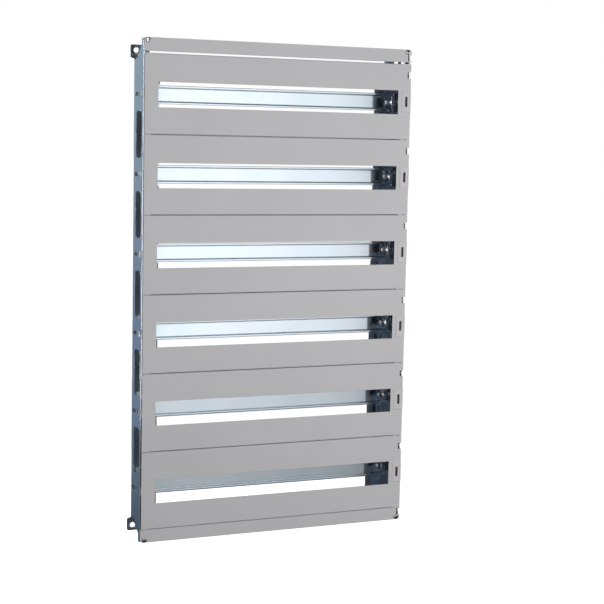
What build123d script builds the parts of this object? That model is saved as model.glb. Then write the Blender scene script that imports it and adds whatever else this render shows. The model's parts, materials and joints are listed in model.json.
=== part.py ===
"""Rail mounting frame for circuit modules, with six hinged covers.

Two folded side uprights carry six top-hat rails at their back and six sheet
covers at their front. Each cover turns about a clip hinge on the left and is
held by a sliding bolt on the right. A plain strip closes the front at the top
and at the bottom.

X runs to the right and Y from the front to the back, so the front faces -Y.
Z is up. The origin is the centre of the four fixing holes, on the back face.
"""
from build123d import *
import os

# Whole frame
frame_width = 557.0
row_count = 6
row_pitch = 150.0
top_gap = 3.8
bottom_gap = 0.6
strip_height = 24.9
strip_overhang = 1.0

# Folded uprights, measured from the back face
sheet = 1.5
bend_radius = 2.0
upright_depth = 55.5
front_flange_width = 12.0
back_flange_width = 51.0

# Fixing ears on the back flange; the holes are set in from the upright's sides and ends
fixing_inset_x = 3.5
fixing_inset_z = 20.5
fixing_hole_radius = 5.0
ear_overhang = 7.5
ear_tab_width = 30.0
ear_height = 25.5
ear_margin = 10.5
ear_corner_radius = 4.0

# The ends of each side plate are cut away so that a driver reaches the ears
front_tab_depth = 8.5
tab_shoulder = 15.5
end_cut_height = 38.0
end_cut_back_land = 10.0

# Openings in the side plates
window_width = 34.0
window_height = 88.0
window_corner_radius = 10.0
window_setback = 22.5
keyhole_radius = 6.0
keyhole_setback = 14.5
keyhole_slot_width = 7.5
keyhole_slot_length = 33.0

# Top-hat rails
rail_height = 35.0
rail_depth = 7.5
rail_groove = 25.0
rail_sheet = 1.0
rail_bend = 1.8
rail_end_gap = 12.0

# Screws
rail_screw_inset = 8.5
rail_screw_radius = 2.5
rail_screw_head_radius = 6.0
rail_screw_head_height = 3.0
strip_screw_inset_x = 8.5
strip_screw_inset_z = 5.5
strip_screw_radius = 2.0
strip_screw_head_radius = 4.8
strip_screw_head_height = 2.6
screw_clearance = 0.1
screw_sides = 12

# Covers
cover_sheet = 1.2
cover_bend = 2.0
cover_stand_off = 3.3
cover_left_inset = 1.8
cover_right_inset = 0.1
cover_seam = 1.2
cover_fold_depth = 12.0
cover_fold_lean = 0.55
cover_fold_end_gap = 4.5
cover_end_overhang = 0.2
cutout_left_margin = 28.6
cutout_right_margin = 27.4
cutout_height = 47.0
cutout_drop = 1.3

# Strips at the top and bottom
strip_corner_radius = 6.0
strip_return_end_gap = 6.5

# Notches in the right edge of covers and strips, and the small bite behind them
notch_width = 7.5
notch_height = 12.0
notch_rise = 52.5
strip_notch_offset = 8.3
notch_bite = 3.0

# Clip hinges on the left
hinge_axis_inset = 0.5
hinge_barrel_radius = 1.45
hinge_pin_radius = 0.75
hinge_pin_clearance = 0.06
hinge_leaf_length = 6.0
hinge_leaf_reach = 11.0
hinge_height = 16.0
hinge_knuckle_gap = 0.2
hinge_arm_reach = 9.0
hinge_ear_width = 3.2
hinge_ear_chamfer = 0.8
hinge_arm_thickness = 1.6
hinge_slot_width = 4.0
hinge_slot_offset = 3.0
hinge_head_overlap = 1.0
hinge_head_thickness = 1.5

# Sliding latches on the right
latch_width = 20.0
latch_height = 42.0
latch_plate = 1.4
latch_bevel = 1.1
latch_end_bevel = 0.4
latch_window_inset_x = 2.5
latch_window_inset_z = 4.0
latch_fit = 0.1
latch_back_plate = 1.2
latch_slot_width = 5.4
latch_slot_height = 19.7
latch_slot_offset = 10.2
latch_guide_wall = 2.0
latch_guide_lip = 2.0
latch_lip_thickness = 1.2
bolt_width = 13.0
bolt_height = 24.0
bolt_thickness = 1.6
bolt_clearance = 0.2
bolt_stem = 1.5
bolt_hook = 4.5
bolt_hook_height = 16.0
bolt_hook_thickness = 2.2
bolt_travel = 3.3
latch_notch_depth = 5.5
latch_notch_side_gap = 1.0
bolt_stem_gap = 0.4
striker_gap = 0.3

# Places that follow from the sizes above
half_width = frame_width / 2
stack_height = row_count * row_pitch - cover_seam
strip_half_height = (stack_height + top_gap + bottom_gap) / 2 + strip_height
half_height = strip_half_height - strip_overhang
fixing_x = half_width - fixing_inset_x
fixing_z = half_height - fixing_inset_z
plate_top = half_height - end_cut_height
flange_front = -upright_depth
flange_back = flange_front + sheet
cover_back = flange_front - cover_stand_off
cover_front = cover_back - cover_sheet
cover_height = row_pitch - cover_seam
cover_left = -half_width + cover_left_inset
cover_right = half_width - cover_right_inset
stack_bottom = -strip_half_height + strip_height + bottom_gap
front_flange_edge = half_width - front_flange_width
fold_half_width = front_flange_edge - cover_fold_end_gap
rail_half_length = half_width - rail_end_gap
rail_back = -sheet
hinge_x = cover_left + hinge_axis_inset
hinge_y = cover_back + cover_stand_off / 2
latch_left = cover_right - latch_width
latch_slot_x = latch_left + latch_slot_offset


def row_centre(row):
    """Height of a row's middle; row 1 is at the top."""
    return stack_bottom + (row_count - row) * row_pitch + cover_height / 2


def block(x0, x1, y0, y1, z0, z1):
    """A box between two corners."""
    centre = ((x0 + x1) / 2, (y0 + y1) / 2, (z0 + z1) / 2)
    return Pos(*centre) * Box(x1 - x0, y1 - y0, z1 - z0)


def rod_y(x, z, radius, y0, y1):
    """A cylinder that runs from front to back."""
    return Pos(x, (y0 + y1) / 2, z) * Rot(90, 0, 0) * Cylinder(radius, y1 - y0)


def screw_rod(x, z, radius, y0, y1):
    """A screw's shank, head or hole: a many-sided rod that runs from front to back."""
    return along_y(Pos(x, z) * RegularPolygon(radius, screw_sides), y0, y1)


def rod_z(x, y, radius, z0, z1):
    """An upright cylinder."""
    return Pos(x, y, (z0 + z1) / 2) * Cylinder(radius, z1 - z0)


def outline(points):
    """A flat face from its corner points."""
    return make_face(Polyline(*points, close=True))


def rounded(face, corners):
    """Round the named corners of a flat face, each with its own radius."""
    for (u, v), radius in corners:
        near = face.vertices().sort_by_distance(Vector(u, v, 0))[0]
        face = fillet(near, radius)
    return face


def along_x(face, x0, x1):
    """Extrude an outline drawn as (Y, Z) from x0 to x1."""
    plane = Plane(origin=(x0, 0, 0), x_dir=(0, 1, 0), z_dir=(1, 0, 0))
    return extrude(plane * face, amount=x1 - x0)


def along_y(face, y0, y1):
    """Extrude an outline drawn as (X, Z) from y0 to y1."""
    plane = Plane(origin=(0, y1, 0), x_dir=(1, 0, 0), z_dir=(0, -1, 0))
    return extrude(plane * face, amount=y1 - y0)


def along_z(face, z0, z1):
    """Extrude an outline drawn as (X, Y) from z0 to z1."""
    return extrude(Pos(0, 0, z0) * face, amount=z1 - z0)


def mirrored(shape):
    """The same shape on the other side of the frame."""
    return mirror(shape, about=Plane.YZ)


def rounded_slot(width, height, radius):
    """A rectangle with round corners, about the origin."""
    return RectangleRounded(width, height, radius)


def folded_section():
    """Section of the left upright, seen from above."""
    out = -half_width
    points = [
        (out, 0), (out + back_flange_width, 0), (out + back_flange_width, -sheet),
        (out + sheet, -sheet), (out + sheet, flange_back),
        (out + front_flange_width, flange_back), (out + front_flange_width, flange_front),
        (out, flange_front)]
    return rounded(outline(points), [((out, 0), bend_radius), ((out, flange_front), bend_radius)])


def end_cut():
    """Piece taken off the top end of the side plate and back flange."""
    tab_back = flange_front + front_tab_depth
    above = half_height + sheet
    points = [
        (tab_back, above), (tab_back, half_height - tab_shoulder),
        (-end_cut_back_land, plate_top), (sheet, plate_top), (sheet, above)]
    return along_x(outline(points), -half_width - sheet, -half_width + back_flange_width + sheet)


def fixing_ear():
    """Tab at the top of the back flange, with the ear that stands out to the left."""
    out = -half_width
    ear_top = fixing_z + ear_margin
    ear_bottom = ear_top - ear_height
    inner = out + ear_tab_width
    outer = out - ear_overhang
    points = [
        (out, plate_top), (inner, plate_top), (inner, ear_top), (outer, ear_top),
        (outer, ear_bottom), (out, ear_bottom)]
    corners = [((outer, ear_top), ear_corner_radius), ((outer, ear_bottom), ear_corner_radius)]
    ear = along_y(rounded(outline(points), corners), -sheet, 0)
    hole = rod_y(-fixing_x, fixing_z, fixing_hole_radius, -2 * sheet, sheet)
    return ear - hole


def side_window(z):
    """Round-cornered opening through the left side plate."""
    face = rounded_slot(window_width, window_height, window_corner_radius)
    y = flange_front + window_setback
    return along_x(Pos(y, z) * face, -half_width - sheet, -half_width + 2 * sheet)


def side_keyhole(z):
    """Round hole with a slot that runs towards the back."""
    y = flange_front + keyhole_setback
    slot_centre = y + keyhole_slot_length / 2
    face = Pos(y, z) * Circle(keyhole_radius)
    face += Pos(slot_centre, z) * Rectangle(keyhole_slot_length, keyhole_slot_width)
    return along_x(face, -half_width - sheet, -half_width + 2 * sheet)


def flange_screw_holes():
    """Holes in the left upright for the rail screws and the strip screws."""
    cuts = []
    for row in range(1, row_count + 1):
        x = -rail_half_length + rail_screw_inset
        cuts.append(screw_rod(x, row_centre(row), rail_screw_radius + screw_clearance, -2 * sheet, sheet))
    for end in (-1, 1):
        x = -half_width + strip_screw_inset_x
        z = end * (strip_half_height - strip_screw_inset_z)
        cuts.append(screw_rod(x, z, strip_screw_radius + screw_clearance, flange_front - sheet,
                              flange_back + sheet))
    return cuts


def plain_upright():
    """What both uprights share, drawn as the left one."""
    body = along_z(folded_section(), -half_height, half_height)
    for flip in (False, True):
        cut = end_cut()
        ear = fixing_ear()
        if flip:
            cut = mirror(cut, about=Plane.XY)
            ear = mirror(ear, about=Plane.XY)
        body = body - cut + ear
    cuts = flange_screw_holes()
    for row in range(1, row_count + 1):
        cuts.append(side_keyhole(row_centre(row)))
    for row in range(1, row_count):
        cuts.append(side_window(row_centre(row) - row_pitch / 2))
    return body - cuts


def hinge_slot_span():
    """Left and right side of the slot that holds a hinge clip."""
    left = hinge_x + hinge_slot_offset
    return left, left + hinge_slot_width


def left_upright():
    """Upright with a slot for the hinge clip of each cover."""
    left, right = hinge_slot_span()
    half = hinge_height / 2
    cuts = []
    for row in range(1, row_count + 1):
        z = row_centre(row)
        cuts.append(block(left, right, flange_front - 1, flange_back + 1, z - half, z + half))
    return plain_upright() - cuts


def notch_heights():
    """Height of every right-hand notch, those of the two strips last."""
    heights = [row_centre(row) + notch_rise for row in range(1, row_count + 1)]
    strip_edge = strip_half_height - strip_height + strip_notch_offset
    return heights + [strip_edge, -strip_edge]


def edge_bite(z):
    """Small wedge taken out of the right side plate's front edge."""
    tip = flange_front + 2 * notch_bite
    points = [(flange_front - 1, z - notch_bite), (tip, z), (flange_front - 1, z + notch_bite)]
    return along_x(outline(points), half_width - 2 * sheet, half_width + sheet)


def right_upright():
    """Upright with openings for the latch bolts and a small bite behind each notch."""
    cuts = []
    half = bolt_hook_height / 2 + latch_notch_side_gap
    for row in range(1, row_count + 1):
        z = row_centre(row)
        cuts.append(block(front_flange_edge - 1, front_flange_edge + latch_notch_depth,
                          flange_front - 1, flange_back + 1, z - half, z + half))
    cuts += [edge_bite(z) for z in notch_heights()]
    return mirrored(plain_upright()) - cuts


def rail_section():
    """Section of the top-hat rail as (Y, Z), about its own middle."""
    front = rail_back - rail_depth
    lip = front + rail_sheet
    base = rail_back - rail_sheet
    inner = rail_groove / 2
    outer = inner + rail_sheet
    edge = rail_height / 2
    points = [
        (front, -edge), (front, -inner), (base, -inner), (base, inner), (front, inner), (front, edge),
        (lip, edge), (lip, outer), (rail_back, outer), (rail_back, -outer), (lip, -outer), (lip, -edge)]
    corners = []
    for side in (-1, 1):
        corners += [((front, side * inner), rail_bend), ((rail_back, side * outer), rail_bend)]
    return rounded(outline(points), corners)


def din_rail(row):
    """One plain top-hat rail, with a screw hole near each end."""
    z = row_centre(row)
    rail = along_x(Pos(0, z) * rail_section(), -rail_half_length, rail_half_length)
    for side in (-1, 1):
        x = side * (rail_half_length - rail_screw_inset)
        rail -= screw_rod(x, z, rail_screw_radius + screw_clearance, rail_back - rail_depth, sheet)
    return rail


def pan_screw(x, z, seat, radius, head_radius, head_height, length):
    """Plain pan screw whose head stands on the plane Y = seat."""
    head = screw_rod(x, z, head_radius, seat - head_height, seat)
    return head + screw_rod(x, z, radius, seat, seat + length)


def rail_screw(row, side):
    """Screw that holds one end of a rail to the back flange."""
    x = side * (rail_half_length - rail_screw_inset)
    seat = rail_back - rail_sheet
    return pan_screw(x, row_centre(row), seat, rail_screw_radius, rail_screw_head_radius,
                     rail_screw_head_height, rail_sheet + sheet)


def strip_screw(end, side):
    """Screw at one corner of the frame, through a strip into the upright."""
    x = side * (half_width - strip_screw_inset_x)
    z = end * (strip_half_height - strip_screw_inset_z)
    length = cover_sheet + cover_stand_off + sheet
    return pan_screw(x, z, cover_front, strip_screw_radius, strip_screw_head_radius,
                     strip_screw_head_height, length)


def folded_tray(low, high, fold_depth, x0, x1, lean=0.0):
    """Sheet face with its edges folded back, bent past square by the lean."""
    back = cover_front + fold_depth
    inner_low = low + cover_sheet
    inner_high = high - cover_sheet
    points = [
        (back, low - lean), (cover_front, low), (cover_front, high), (back, high + lean),
        (back, inner_high + lean), (cover_back, inner_high), (cover_back, inner_low),
        (back, inner_low - lean)]
    corners = [((cover_front, low), cover_bend), ((cover_front, high), cover_bend)]
    return along_x(rounded(outline(points), corners), x0, x1)


def edge_notch(z):
    """Notch in the right edge of a cover or strip."""
    reach = notch_height / 2
    return block(cover_right - notch_width, half_width + 1, cover_front - 1, flange_front,
                 z - reach, z + reach)


def end_strip(end):
    """Strip that closes the front at the top (end 1) or bottom (end -1)."""
    outer = end * strip_half_height
    inner = outer - end * strip_height
    low, high = min(outer, inner), max(outer, inner)
    r = strip_corner_radius
    points = [(-half_width, low), (half_width, low), (half_width, high), (-half_width, high)]
    corners = [((-half_width, outer), r), ((half_width, outer), r)]
    face = along_y(rounded(outline(points), corners), cover_front, cover_back)
    reach = half_width - strip_return_end_gap
    strip = face + folded_tray(low, high, cover_sheet + cover_stand_off, -reach, reach)
    for side in (-1, 1):
        x = side * (half_width - strip_screw_inset_x)
        z = end * (strip_half_height - strip_screw_inset_z)
        strip -= screw_rod(x, z, strip_screw_radius + screw_clearance, cover_front - 1, flange_front)
    return strip - edge_notch(inner + end * strip_notch_offset)


def cover(row):
    """Hinged cover with its long cut-out for the module fronts."""
    z = row_centre(row)
    low, high = z - cover_height / 2, z + cover_height / 2
    plate = folded_tray(low, high, cover_fold_depth, -fold_half_width, fold_half_width, cover_fold_lean)
    for end, fold_end in ((cover_left, -fold_half_width), (cover_right, fold_half_width)):
        plate += block(min(end, fold_end), max(end, fold_end), cover_front, cover_back,
                       low - cover_end_overhang, high + cover_end_overhang)
    centre = z - cutout_drop
    plate -= block(-half_width + cutout_left_margin, half_width - cutout_right_margin, cover_front - 1,
                   cover_back + 1, centre - cutout_height / 2, centre + cutout_height / 2)
    plate -= block(latch_left + latch_window_inset_x, cover_right - latch_window_inset_x,
                   cover_front - 1, cover_back + 1, z - latch_height / 2 + latch_window_inset_z,
                   z + latch_height / 2 - latch_window_inset_z)
    return plate - edge_notch(z + notch_rise)


def hinge_leaf(row):
    """Leaf on the back of the cover, with the barrel that turns on the pin."""
    z = row_centre(row)
    half = hinge_leaf_length / 2
    leaf = rod_z(hinge_x, hinge_y, hinge_barrel_radius, z - half, z + half)
    leaf += block(hinge_x, hinge_x + hinge_leaf_reach, cover_back, hinge_y, z - half, z + half)
    return leaf - rod_z(hinge_x, hinge_y, hinge_pin_radius + hinge_pin_clearance, z - half, z + half)


def hinge_ear():
    """Section of the clip's ears, cut off at the front corner where the cover turns past."""
    front = hinge_y - hinge_barrel_radius
    left = hinge_x - hinge_barrel_radius
    right = left + hinge_ear_width
    arm_front = flange_front - hinge_arm_thickness
    arm_end = hinge_x + hinge_arm_reach
    return outline([
        (left, flange_front), (left, front + hinge_ear_chamfer), (left + hinge_ear_chamfer, front),
        (right, front), (right, arm_front), (arm_end, arm_front), (arm_end, flange_front)])


def hinge_bracket(row):
    """Clip on the left upright: two knuckles, the pin and a head behind the flange."""
    z = row_centre(row)
    half = hinge_height / 2
    inner = hinge_leaf_length / 2 + hinge_knuckle_gap
    left, right = hinge_slot_span()
    clip = rod_z(hinge_x, hinge_y, hinge_pin_radius, z - inner, z + inner)
    for side in (-1, 1):
        low, high = sorted((z + side * inner, z + side * (half - latch_fit)))
        clip += along_z(hinge_ear(), low, high)
        clip += block(left + latch_fit, right - latch_fit, flange_front, flange_back, low, high)
    clip += block(left - hinge_head_overlap, right + hinge_head_overlap, flange_back,
                  flange_back + hinge_head_thickness, z - half, z + half)
    return clip


def latch_housing(row):
    """Moulded plate in the cover with the slot that a driver goes into."""
    z = row_centre(row)
    half = latch_height / 2
    right = cover_right
    plate = block(latch_left, right, cover_front - latch_plate, cover_front, z - half, z + half)
    rim = plate.faces().sort_by(Axis.Y)[0].edges()
    plate = chamfer(rim.sort_by(Axis.X)[0], latch_bevel)
    rim = plate.faces().sort_by(Axis.Y)[0].edges().filter_by(Axis.X)
    plate = chamfer(rim, latch_end_bevel)
    window_left = latch_left + latch_window_inset_x + latch_fit
    window_right = right - latch_window_inset_x - latch_fit
    window_half = half - latch_window_inset_z - latch_fit
    plate += block(window_left, window_right, cover_front, cover_back, z - window_half, z + window_half)
    guide = bolt_height / 2 + bolt_clearance + latch_guide_wall
    back = cover_back + latch_back_plate
    plate += block(latch_left + 1, right - 1, cover_back, back, z - guide, z + guide)
    bolt_back = back + bolt_clearance + bolt_thickness
    lip_edge = front_flange_edge - 1
    for side in (-1, 1):
        inside, outside = sorted((z + side * (guide - latch_guide_wall), z + side * guide))
        plate += block(latch_left + 1, right - 1, back, flange_front - striker_gap, inside, outside)
        lip_in, lip_out = sorted((z + side * (guide - latch_guide_wall - latch_guide_lip), z + side * guide))
        plate += block(latch_left + 1, lip_edge, bolt_back + bolt_clearance,
                       bolt_back + bolt_clearance + latch_lip_thickness, lip_in, lip_out)
        plate += block(latch_left + 1, lip_edge, back, bolt_back + bolt_clearance + latch_lip_thickness,
                       inside, outside)
    slot = latch_slot_height / 2
    plate -= block(latch_slot_x - latch_slot_width / 2, latch_slot_x + latch_slot_width / 2,
                   cover_front - latch_plate - 1, back + 1, z - slot, z + slot)
    return plate


def latch_bolt(row):
    """Slider behind the housing, with the hook that goes behind the flange."""
    z = row_centre(row)
    half = bolt_height / 2
    hook_half = bolt_hook_height / 2
    front = cover_back + latch_back_plate + bolt_clearance
    back = front + bolt_thickness
    stem_left = front_flange_edge + bolt_stem_gap
    left = latch_left + 1 + bolt_clearance
    bolt = block(left, left + bolt_width, front, back, z - half, z + half)
    hook_front = flange_back + striker_gap
    hook_back = hook_front + bolt_hook_thickness
    bolt += block(stem_left, stem_left + bolt_stem, back, hook_back, z - hook_half, z + hook_half)
    bolt += block(stem_left, stem_left + bolt_hook, hook_front, hook_back, z - hook_half, z + hook_half)
    return bolt


def all_pieces():
    """Every piece under its own name."""
    pieces = {
        "left_upright": left_upright(), "right_upright": right_upright(),
        "top_strip": end_strip(1), "bottom_strip": end_strip(-1)}
    for end, level in ((1, "top"), (-1, "bottom")):
        for side, hand in ((-1, "left"), (1, "right")):
            pieces[f"{level}_{hand}_screw"] = strip_screw(end, side)
    for row in range(1, row_count + 1):
        pieces[f"din_rail_{row}"] = din_rail(row)
        pieces[f"din_rail_{row}_left_screw"] = rail_screw(row, -1)
        pieces[f"din_rail_{row}_right_screw"] = rail_screw(row, 1)
        pieces[f"hinge_bracket_{row}"] = hinge_bracket(row)
        pieces[f"cover_{row}"] = cover(row)
        pieces[f"hinge_leaf_{row}"] = hinge_leaf(row)
        pieces[f"latch_housing_{row}"] = latch_housing(row)
        pieces[f"latch_bolt_{row}"] = latch_bolt(row)
    return pieces


def main():
    os.makedirs("parts", exist_ok=True)
    for name, shape in all_pieces().items():
        export_step(shape, f"parts/{name}.step")


main()
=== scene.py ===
"""Looks of the rail mounting frame: finishes, studio light and camera."""
import json
import math

import bmesh
import bpy
from mathutils import Matrix, Vector


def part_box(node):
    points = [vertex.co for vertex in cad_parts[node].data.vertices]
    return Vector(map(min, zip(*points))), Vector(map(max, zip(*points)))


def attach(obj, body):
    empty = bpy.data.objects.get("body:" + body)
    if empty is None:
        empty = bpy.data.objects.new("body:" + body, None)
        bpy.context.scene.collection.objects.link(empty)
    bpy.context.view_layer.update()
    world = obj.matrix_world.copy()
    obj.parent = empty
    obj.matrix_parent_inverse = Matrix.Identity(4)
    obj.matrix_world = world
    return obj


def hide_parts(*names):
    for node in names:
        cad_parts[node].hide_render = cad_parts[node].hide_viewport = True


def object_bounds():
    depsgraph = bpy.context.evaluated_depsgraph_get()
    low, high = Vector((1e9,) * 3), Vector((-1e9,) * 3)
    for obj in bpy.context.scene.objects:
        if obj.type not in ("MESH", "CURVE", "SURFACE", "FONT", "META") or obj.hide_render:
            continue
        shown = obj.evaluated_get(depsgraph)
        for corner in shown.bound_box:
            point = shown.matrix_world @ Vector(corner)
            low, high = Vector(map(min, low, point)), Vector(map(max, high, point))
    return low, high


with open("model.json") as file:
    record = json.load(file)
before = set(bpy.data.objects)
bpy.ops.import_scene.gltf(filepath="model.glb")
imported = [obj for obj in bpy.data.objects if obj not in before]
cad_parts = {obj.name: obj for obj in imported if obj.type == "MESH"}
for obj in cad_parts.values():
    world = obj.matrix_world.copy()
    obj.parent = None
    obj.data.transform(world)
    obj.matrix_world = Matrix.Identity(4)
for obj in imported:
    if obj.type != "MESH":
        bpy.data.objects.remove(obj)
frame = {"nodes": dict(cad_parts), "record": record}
cad_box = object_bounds()

ROWS = range(1, 7)

# The camera, in metres and radians in the frame of the part
CAMERA_PLACE = Vector((-1.1475, -2.7313, 0.2855))
CAMERA_YAW = 0.4214
CAMERA_PITCH = -0.1048
CAMERA_ROLL = 0.0197
CAMERA_LENS = 89.39
SENSOR_WIDTH = 36.0

# The studio: the floor in metres, and the light of the room and of its plain walls
FLOOR_DROP = 0.45
FLOOR_SIZE = 60.0
BASE_LIGHT = (0.010, 0.011, 0.012)
WALL_LIGHT = (0.26, 0.29, 0.32)

# The wall that the left side plate mirrors: its direction, and its full and its outer
# radius in degrees. It is dark low down, even in the middle and pale above, by the
# height of the direction, with a pale foot below it
PLATE_WALL = (Vector((-0.41, 0.91, -0.07)), 12.0, 30.0)
WALL_FOOT = (0.30, 0.35, 0.40)
WALL_DARK = (0.04, 0.06, 0.08)
WALL_MIDDLE = (0.14, 0.19, 0.27)
WALL_PALE = (0.35, 0.43, 0.47)
PLATE_WALL_COLOURS = (
    (-0.38, WALL_FOOT), (-0.27, WALL_DARK), (-0.18, WALL_MIDDLE), (-0.11, WALL_MIDDLE), (0.07, WALL_PALE))

# Three plain walls for the other views: behind, at the right and at the left
PLAIN_WALLS = (
    (Vector((0.02, 1.0, -0.10)), 6.0, 22.0),
    (Vector((0.93, 0.36, -0.10)), 14.0, 42.0),
    (Vector((-1.0, -0.10, 0.0)), 18.0, 45.0))

# Soft lights: the place, the point aimed at, the width and height, and the radiance
LIGHTS = (
    ("key", (-0.22, -2.4, 0.48), (-0.22, 0.0, 0.10), (0.8, 2.2), 4.6),
    ("right_fill", (2.0, -1.7, 0.10), (0.2, 0.0, 0.0), (0.7, 1.0), 7.0),
    ("left_fill", (-4.4, -2.3, 0.15), (0.0, 0.0, 0.0), (0.5, 2.6), 9.0),
    ("back_fill", (0.0, 3.0, -0.20), (0.0, 0.0, 0.0), (0.9, 0.9), 9.0))

# The panels that the rails mirror: columns from x to x with their radiance, and rows
# from z to z with their share of it
PANEL_Y = -1.2
PANEL_COLUMNS = ((0.125, 0.400, 1.24), (0.400, 0.560, 1.16), (0.560, 0.720, 1.05), (0.720, 0.845, 0.95))
PANEL_ROWS = ((-0.120, 0.640, 1.00), (-0.340, -0.120, 0.93), (-0.560, -0.340, 0.63), (-0.800, -0.560, 0.38))

# Finishes: cells of noise in a metre, and depths and radii in metres
PAINT_CLOUDS = 7.0
PAINT_TONES = ((0.575, 0.566, 0.577), (0.600, 0.591, 0.601))
PAINT_PEEL = 650.0
PAINT_DEPTH = 0.00004
PAINT_EDGE = 0.0006
ZINC_CLOUDS = 9.0
ZINC_LINES = 900.0
ZINC_DEPTH = 0.000004
UPRIGHT_TINTS = ((0.63, 0.72, 0.77), (0.66, 0.72, 0.79), (0.69, 0.71, 0.79))
UPRIGHT_STRETCH = (1.0, 1.0, 60.0)
UPRIGHT_ROUGHNESS = (0.07, 0.11)
UPRIGHT_EDGE = 0.0004
RAIL_TINTS = ((0.70, 0.81, 0.87), (0.74, 0.83, 0.90), (0.77, 0.82, 0.89))
RAIL_STRETCH = (80.0, 1.0, 1.0)
RAIL_ROUGHNESS = (0.09, 0.14)
RAIL_EDGE = 0.0020
PLASTIC_CLOUDS = 60.0
PLASTIC_GRAIN = 900.0
PLASTIC_DEPTH = 0.00004
PLASTIC_EDGE = 0.0005
LATCH_TONES = ((0.60, 0.58, 0.60), (0.63, 0.61, 0.63))
CLIP_TONES = ((0.36, 0.35, 0.35), (0.40, 0.39, 0.39))
BOLT_TONES = ((0.008, 0.008, 0.008), (0.014, 0.014, 0.014))
STEEL_SPOTS = 700.0
STEEL_TONES = ((0.26, 0.26, 0.27), (0.60, 0.60, 0.61))
STEEL_DEPTH = 0.00003

# Screws: sizes in metres and shares of the head's radius or height
SCREW_SIDES = 40
SCREW_TURN = 37
SHARP_ANGLE = 35
RIM_STEPS = 7
RIM_SHARE = 0.5
CROWN_START = 0.42
RECESS_REACH = 1.05
RECESS_WIDTH = 0.21
RECESS_TAPER = 0.55
RECESS_FLOOR = 0.42
RECESS_TOP = 1.25
THREAD_STEPS = 24
THREAD_PITCH = 0.0008
THREAD_DEPTH = 0.00032
RAIL_HEAD_HEIGHT = 0.003
RAIL_SHANK_RADIUS = 0.0025
CORNER_HEAD_HEIGHT = 0.0026
CORNER_SHANK_RADIUS = 0.002


class Shader:
    """Builds one node material."""

    def __init__(self, name):
        self.material = bpy.data.materials.new(name)
        self.material.use_nodes = True
        self.tree = self.material.node_tree
        self.tree.nodes.clear()
        self.out = self.node("ShaderNodeOutputMaterial")
        self.surface = self.node("ShaderNodeBsdfPrincipled")
        self.link(self.surface.outputs["BSDF"], self.out.inputs["Surface"])
        self.place = self.node("ShaderNodeTexCoord").outputs["Object"]

    def node(self, kind, **values):
        """Add a node, with its settings or input values by name."""
        made = self.tree.nodes.new(kind)
        for key, value in values.items():
            if hasattr(made, key):
                setattr(made, key, value)
            else:
                made.inputs[key.replace("_", " ")].default_value = value
        return made

    def link(self, source, target):
        self.tree.links.new(source, target)

    def set(self, **values):
        """Set inputs of the surface by name, with _ for each space."""
        for key, value in values.items():
            self.surface.inputs[key.replace("_", " ")].default_value = value
        return self

    def noise(self, scale, stretch=(1.0, 1.0, 1.0), detail=3.0, roughness=0.5):
        """Noise in metres: scale is in cells a metre, stretch divides it along an axis."""
        mapping = self.node("ShaderNodeMapping")
        mapping.inputs["Scale"].default_value = [scale / s for s in stretch]
        self.link(self.place, mapping.inputs["Vector"])
        made = self.node("ShaderNodeTexNoise", Scale=1.0, Detail=detail, Roughness=roughness)
        self.link(mapping.outputs["Vector"], made.inputs["Vector"])
        return made.outputs["Fac"]

    def ramp(self, source, stops):
        """Colours along a value from 0 to 1."""
        made = self.node("ShaderNodeValToRGB")
        elements = made.color_ramp.elements
        while len(elements) < len(stops):
            elements.new(0.5)
        for element, (place, colour) in zip(elements, stops):
            element.position = place
            element.color = (*colour, 1.0)
        self.link(source, made.inputs["Fac"])
        return made.outputs["Color"]

    def span(self, source, low, high, start=0.3, end=0.7):
        """Map a value to the range from low to high."""
        made = self.node("ShaderNodeMapRange")
        for key, value in (("From Min", start), ("From Max", end), ("To Min", low), ("To Max", high)):
            made.inputs[key].default_value = value
        self.link(source, made.inputs["Value"])
        return made.outputs["Result"]

    def bump(self, source, depth, strength=1.0, under=None):
        """Relief of the given depth in metres, on top of another normal."""
        made = self.node("ShaderNodeBump", Strength=strength, Distance=depth)
        self.link(source, made.inputs["Height"])
        if under is not None:
            self.link(under, made.inputs["Normal"])
        return made.outputs["Normal"]

    def soft_edge(self, radius):
        """A normal that rounds the edges of the sheet by a small radius."""
        return self.node("ShaderNodeBevel", samples=6, Radius=radius).outputs["Normal"]

    def finish(self, colour=None, roughness=None, normal=None):
        """Link what is given to the surface, and return the material."""
        for source, key in ((colour, "Base Color"), (roughness, "Roughness"), (normal, "Normal")):
            if source is not None:
                self.link(source, self.surface.inputs[key])
        return self.material


def painted_sheet():
    """Satin powder coat: light grey, with a fine orange-peel relief."""
    s = Shader("painted_sheet").set(Specular_IOR_Level=0.45)
    tone = s.ramp(s.noise(PAINT_CLOUDS, detail=2.0), [(0.3, PAINT_TONES[0]), (0.7, PAINT_TONES[1])])
    peel = s.noise(PAINT_PEEL, detail=2.0)
    normal = s.bump(peel, PAINT_DEPTH, 0.6, s.soft_edge(PAINT_EDGE))
    return s.finish(tone, s.span(peel, 0.42, 0.52), normal)


def zinc(name, tints, stretch, roughness, edge):
    """Bright zinc plate: rolled sheet with a faint coloured film."""
    s = Shader(name).set(Metallic=1.0)
    cloud = s.noise(ZINC_CLOUDS, detail=4.0, roughness=0.6)
    colour = s.ramp(cloud, [(0.30, tints[0]), (0.5, tints[1]), (0.70, tints[2])])
    lines = s.noise(ZINC_LINES, stretch=stretch, detail=3.0)
    normal = s.bump(lines, ZINC_DEPTH, 0.15, s.soft_edge(edge))
    return s.finish(colour, s.span(lines, *roughness), normal)


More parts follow.
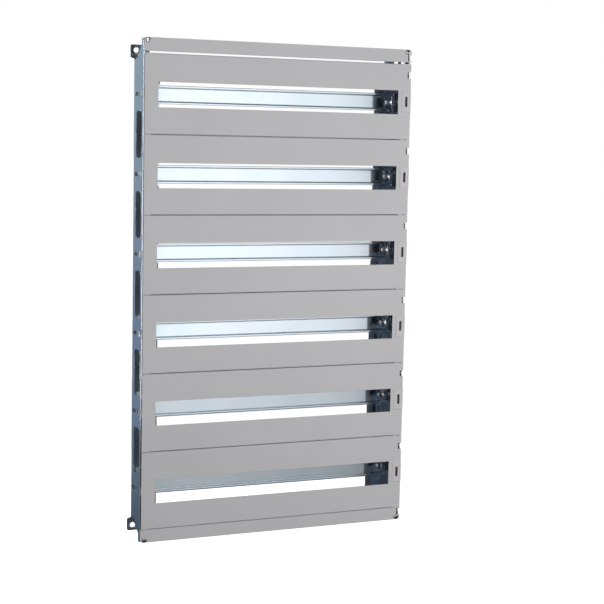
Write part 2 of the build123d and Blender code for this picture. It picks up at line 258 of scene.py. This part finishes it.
def moulded(name, tones, roughness):
    """Moulded plastic with a fine spark-eroded grain."""
    s = Shader(name).set(Specular_IOR_Level=0.5)
    tone = s.ramp(s.noise(PLASTIC_CLOUDS, detail=2.0), [(0.3, tones[0]), (0.7, tones[1])])
    grain = s.noise(PLASTIC_GRAIN, detail=2.0)
    normal = s.bump(grain, PLASTIC_DEPTH, 0.5, s.soft_edge(PLASTIC_EDGE))
    return s.finish(tone, s.span(grain, roughness - 0.05, roughness + 0.05), normal)


def screw_steel():
    """Zinc-plated screw with small dull patches."""
    s = Shader("screw_steel").set(Metallic=1.0)
    spots = s.noise(STEEL_SPOTS, detail=4.0)
    colour = s.ramp(spots, [(0.35, STEEL_TONES[0]), (0.65, STEEL_TONES[1])])
    return s.finish(colour, s.span(spots, 0.16, 0.30), s.bump(spots, STEEL_DEPTH, 0.4))


def materials():
    """One material for each slot."""
    return {
        "painted_sheet": painted_sheet(),
        "zinc_upright": zinc("zinc_upright", UPRIGHT_TINTS, UPRIGHT_STRETCH,
                             UPRIGHT_ROUGHNESS, UPRIGHT_EDGE),
        "zinc_rail": zinc("zinc_rail", RAIL_TINTS, RAIL_STRETCH, RAIL_ROUGHNESS, RAIL_EDGE),
        "latch_plastic": moulded("latch_plastic", LATCH_TONES, 0.42),
        "clip_plastic": moulded("clip_plastic", CLIP_TONES, 0.5),
        "bolt_plastic": moulded("bolt_plastic", BOLT_TONES, 0.5),
        "screw": screw_steel(),
    }


def dress(made):
    """Give every node the material of its slot."""
    for entry in frame["record"]["subparts"]:
        node = frame["nodes"][entry["node"]]
        node.data.materials.clear()
        node.data.materials.append(made[entry["material_slot"]])


def add_camera():
    """The photograph's viewpoint."""
    forward = Vector((math.sin(CAMERA_YAW) * math.cos(CAMERA_PITCH),
                      math.cos(CAMERA_YAW) * math.cos(CAMERA_PITCH), math.sin(CAMERA_PITCH)))
    level = Vector((math.cos(CAMERA_YAW), -math.sin(CAMERA_YAW), 0.0))
    above = level.cross(forward)
    right = level * math.cos(CAMERA_ROLL) + above * math.sin(CAMERA_ROLL)
    up = above * math.cos(CAMERA_ROLL) - level * math.sin(CAMERA_ROLL)
    data = bpy.data.cameras.new("camera")
    data.lens = CAMERA_LENS
    data.sensor_width = SENSOR_WIDTH
    camera = bpy.data.objects.new("camera", data)
    turn = Matrix((right, up, -forward)).transposed().to_4x4()
    camera.matrix_world = Matrix.Translation(CAMERA_PLACE) @ turn
    bpy.context.collection.objects.link(camera)
    bpy.context.scene.camera = camera


def add_floor():
    """A plain pale floor below the hanging frame."""
    level = cad_box[0].z - FLOOR_DROP
    half = FLOOR_SIZE / 2
    mesh = bpy.data.meshes.new("floor")
    corners = [(-half, -half, level), (half, -half, level), (half, half, level), (-half, half, level)]
    mesh.from_pydata(corners, [], [(0, 1, 2, 3)])
    floor = bpy.data.objects.new("floor", mesh)
    bpy.context.collection.objects.link(floor)
    s = Shader("floor").set(Emission_Color=(1.0, 1.0, 1.0, 1.0), Emission_Strength=1.0)
    tone = s.ramp(s.noise(0.5, detail=1.0), [(0.0, (0.80, 0.80, 0.80)), (1.0, (0.84, 0.84, 0.84))])
    floor.data.materials.append(s.set(Specular_IOR_Level=0.0, Roughness=0.9).finish(tone))
    floor.visible_glossy = False
    floor.visible_diffuse = False


def add_area(name, place, aim, size, radiance):
    """A soft rectangular light that points at a place."""
    data = bpy.data.lights.new(name, "AREA")
    data.shape = "RECTANGLE"
    data.size, data.size_y = size
    data.energy = radiance * math.pi * size[0] * size[1]
    light = bpy.data.objects.new(name, data)
    light.location = place
    direction = Vector(aim) - Vector(place)
    light.rotation_mode = "QUATERNION"
    light.rotation_quaternion = direction.to_track_quat("-Z", "Y")
    light.visible_camera = False
    bpy.context.collection.objects.link(light)


def add_lights():
    """A front softbox, fills at the sides and behind, and the panels that the rails mirror."""
    for light in LIGHTS:
        add_area(*light)
    for left, right, radiance in PANEL_COLUMNS:
        for low, high, share in PANEL_ROWS:
            x, z = (left + right) / 2, (low + high) / 2
            size = (right - left, high - low)
            add_area("panel", (x, PANEL_Y, z), (x, 0.0, z), size, radiance * share)


class Sky:
    """Adds up the light that comes from each direction."""

    def __init__(self, name):
        self.world = bpy.data.worlds.new(name)
        self.world.use_nodes = True
        self.tree = self.world.node_tree
        self.tree.nodes.clear()
        place = self.tree.nodes.new("ShaderNodeTexCoord")
        unit = self.tree.nodes.new("ShaderNodeVectorMath")
        unit.operation = "NORMALIZE"
        self.tree.links.new(place.outputs["Generated"], unit.inputs[0])
        self.direction = unit.outputs["Vector"]
        split = self.tree.nodes.new("ShaderNodeSeparateXYZ")
        self.tree.links.new(self.direction, split.inputs[0])
        self.height = split.outputs["Z"]
        self.total = None

    def by_height(self, stops):
        """Colours by the height of the direction, from -0.5 to 0.5."""
        span = self.tree.nodes.new("ShaderNodeMapRange")
        span.inputs["From Min"].default_value = -0.5
        span.inputs["From Max"].default_value = 0.5
        self.tree.links.new(self.height, span.inputs["Value"])
        ramp = self.tree.nodes.new("ShaderNodeValToRGB")
        elements = ramp.color_ramp.elements
        while len(elements) < len(stops):
            elements.new(0.5)
        for element, (height, colour) in zip(elements, stops):
            element.position = height + 0.5
            element.color = (*colour, 1.0)
        self.tree.links.new(span.outputs["Result"], ramp.inputs["Fac"])
        return ramp.outputs["Color"]

    def lobe(self, toward, core, reach):
        """One inside the core angle around a direction, fading to zero at the reach."""
        dot = self.tree.nodes.new("ShaderNodeVectorMath")
        dot.operation = "DOT_PRODUCT"
        dot.inputs[1].default_value = toward.normalized()
        self.tree.links.new(self.direction, dot.inputs[0])
        fade = self.tree.nodes.new("ShaderNodeMapRange")
        fade.interpolation_type = "SMOOTHSTEP"
        fade.inputs["From Min"].default_value = math.cos(math.radians(reach))
        fade.inputs["From Max"].default_value = math.cos(math.radians(core))
        self.tree.links.new(dot.outputs["Value"], fade.inputs["Value"])
        return fade.outputs["Result"]

    def mix(self, kind, factor, first, second):
        """Mix or add two colours."""
        made = self.tree.nodes.new("ShaderNodeMix")
        made.data_type = "RGBA"
        made.blend_type = kind
        made.clamp_result = False
        for source, key in ((factor, 0), (first, 6), (second, 7)):
            if hasattr(source, "is_output"):
                self.tree.links.new(source, made.inputs[key])
            else:
                made.inputs[key].default_value = source
        return made.outputs[2]

    def add(self, weight, colour):
        """Add a colour where the weight is above zero."""
        start = self.total if self.total is not None else (0.0, 0.0, 0.0, 1.0)
        self.total = self.mix("ADD", weight, start, colour)

    def finish(self, seen):
        """Use the sum for all light but what the camera sees directly."""
        path = self.tree.nodes.new("ShaderNodeLightPath")
        colour = self.mix("MIX", path.outputs["Is Camera Ray"], self.total, (*seen, 1.0))
        background = self.tree.nodes.new("ShaderNodeBackground")
        out = self.tree.nodes.new("ShaderNodeOutputWorld")
        self.tree.links.new(colour, background.inputs["Color"])
        self.tree.links.new(background.outputs[0], out.inputs["Surface"])
        bpy.context.scene.world = self.world


def add_world():
    """White to the eye. The frame mirrors a dim room with pale walls behind it and at its sides."""
    sky = Sky("studio")
    sky.add(1.0, (*BASE_LIGHT, 1.0))
    sky.add(sky.lobe(*PLATE_WALL), sky.by_height(PLATE_WALL_COLOURS))
    for wall in PLAIN_WALLS:
        sky.add(sky.lobe(*wall), (*WALL_LIGHT, 1.0))
    sky.finish((1.0, 1.0, 1.0))


def revolved(made, profile, sides):
    """Rings of vertices around the Y axis through a profile of (radius, y)."""
    rings = []
    for radius, y in profile:
        if radius == 0.0:
            rings.append([made.verts.new((0.0, y, 0.0))] * sides)
            continue
        turn = [2 * math.pi * k / sides for k in range(sides)]
        rings.append([made.verts.new((radius * math.cos(a), y, radius * math.sin(a))) for a in turn])
    for low, high in zip(rings, rings[1:]):
        for k in range(sides):
            corners = [low[k], low[(k + 1) % sides], high[(k + 1) % sides], high[k]]
            made.faces.new(list(dict.fromkeys(corners)))


def pan_head(radius, height):
    """Domed head with a rounded rim, its seat in the plane Y = 0."""
    made = bmesh.new()
    rim = height * RIM_SHARE
    profile = [(0.0, 0.0), (radius * 0.96, 0.0), (radius, -height * 0.06)]
    for step in range(1, RIM_STEPS + 1):
        angle = math.radians(90 * step / RIM_STEPS)
        profile.append((radius - rim * (1 - math.cos(angle)),
                        -height * CROWN_START - rim * math.sin(angle)))
    profile += [(radius * 0.45, -height * 0.985), (0.0, -height)]
    revolved(made, profile, SCREW_SIDES)
    bmesh.ops.recalc_face_normals(made, faces=made.faces)
    return as_object("head", made)


def cross_cutter(radius, height):
    """Two tapered bars that cut the driver's recess."""
    made = bmesh.new()
    for turn in (0.0, math.pi / 2):
        spin = Matrix.Rotation(turn, 4, "Y")
        bar = bmesh.ops.create_cube(made, size=1.0)["verts"]
        for vert in bar:
            deep = vert.co.y > 0
            shrink = RECESS_TAPER if deep else 1.0
            place = Vector((vert.co.x * radius * RECESS_REACH * shrink, 0.0,
                            vert.co.z * radius * RECESS_WIDTH * shrink))
            place.y = -height * RECESS_FLOOR if deep else -height * RECESS_TOP
            vert.co = spin @ place
    bmesh.ops.recalc_face_normals(made, faces=made.faces)
    return as_object("cutter", made)


def threaded_shank(radius, length):
    """Helical thread around the Y axis from 0 to the length, closed by a flat end."""
    made = bmesh.new()
    root, turns = radius - THREAD_DEPTH, length / THREAD_PITCH
    steps = int((turns + 2) * THREAD_STEPS)
    lines = {"root": [], "crest": []}
    for k in range(steps):
        angle = 2 * math.pi * k / THREAD_STEPS
        rise = THREAD_PITCH * (k / THREAD_STEPS - 1.0)
        for name, far, lift in (("root", root, 0.0), ("crest", radius, THREAD_PITCH / 2)):
            y = min(max(rise + lift, 0.0), length)
            lines[name].append(made.verts.new((far * math.cos(angle), y, far * math.sin(angle))))
    for k in range(steps - 1):
        made.faces.new([lines["root"][k], lines["root"][k + 1], lines["crest"][k + 1], lines["crest"][k]])
        later = k + THREAD_STEPS
        if later + 1 < steps:
            made.faces.new([lines["crest"][k], lines["crest"][k + 1], lines["root"][later + 1],
                            lines["root"][later]])
    revolved(made, [(root, length * 0.999), (0.0, length * 0.999)], SCREW_SIDES)
    bmesh.ops.recalc_face_normals(made, faces=made.faces)
    return as_object("shank", made)


def as_object(name, made):
    """Turn edited geometry into an object in the scene."""
    mesh = bpy.data.meshes.new(name)
    made.to_mesh(mesh)
    made.free()
    piece = bpy.data.objects.new(name, mesh)
    bpy.context.collection.objects.link(piece)
    return piece


def screw_shape(head_radius, head_height, shank_radius, shank_length):
    """One mesh with the head, its recess and the thread."""
    head = pan_head(head_radius, head_height)
    cutter = cross_cutter(head_radius, head_height)
    cut = head.modifiers.new("recess", "BOOLEAN")
    cut.object = cutter
    cut.solver = "EXACT"
    cut.use_self = True
    graph = bpy.context.evaluated_depsgraph_get()
    made = bmesh.new()
    made.from_mesh(head.evaluated_get(graph).to_mesh())
    shank = threaded_shank(shank_radius, shank_length)
    made.from_mesh(shank.data)
    mesh = bpy.data.meshes.new("screw_shape")
    made.to_mesh(mesh)
    made.free()
    for scrap in (head, cutter, shank):
        bpy.data.objects.remove(scrap)
    mesh.set_sharp_from_angle(angle=math.radians(SHARP_ANGLE))
    mesh.shade_smooth()
    return mesh


def fit_screws(made, names, head_height, shank_radius):
    """Put a detailed screw in the place of each plain one."""
    low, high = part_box(names[0])
    head_radius = (high.x - low.x) / 2
    shape = screw_shape(head_radius, head_height, shank_radius, high.y - low.y - head_height)
    for index, name in enumerate(names):
        low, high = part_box(name)
        turned = shape.copy()
        turned.transform(Matrix.Rotation(math.radians(SCREW_TURN * index), 4, "Y"))
        screw = bpy.data.objects.new(f"{name}_detail", turned)
        screw.location = ((low.x + high.x) / 2, low.y + head_height, (low.z + high.z) / 2)
        bpy.context.collection.objects.link(screw)
        screw.data.materials.append(made["screw"])
        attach(screw, "frame")
        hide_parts(name)


def main():
    """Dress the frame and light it."""
    made = materials()
    dress(made)
    rail_screws = [f"din_rail_{row}_{hand}_screw" for row in ROWS for hand in ("left", "right")]
    corner_screws = [f"{level}_{hand}_screw" for level in ("top", "bottom") for hand in ("left", "right")]
    fit_screws(made, rail_screws, RAIL_HEAD_HEIGHT, RAIL_SHANK_RADIUS)
    fit_screws(made, corner_screws, CORNER_HEAD_HEIGHT, CORNER_SHANK_RADIUS)
    add_world()
    add_lights()
    add_floor()
    add_camera()
    scene = bpy.context.scene
    scene.view_settings.view_transform = "Standard"
    scene.view_settings.look = "None"


main()
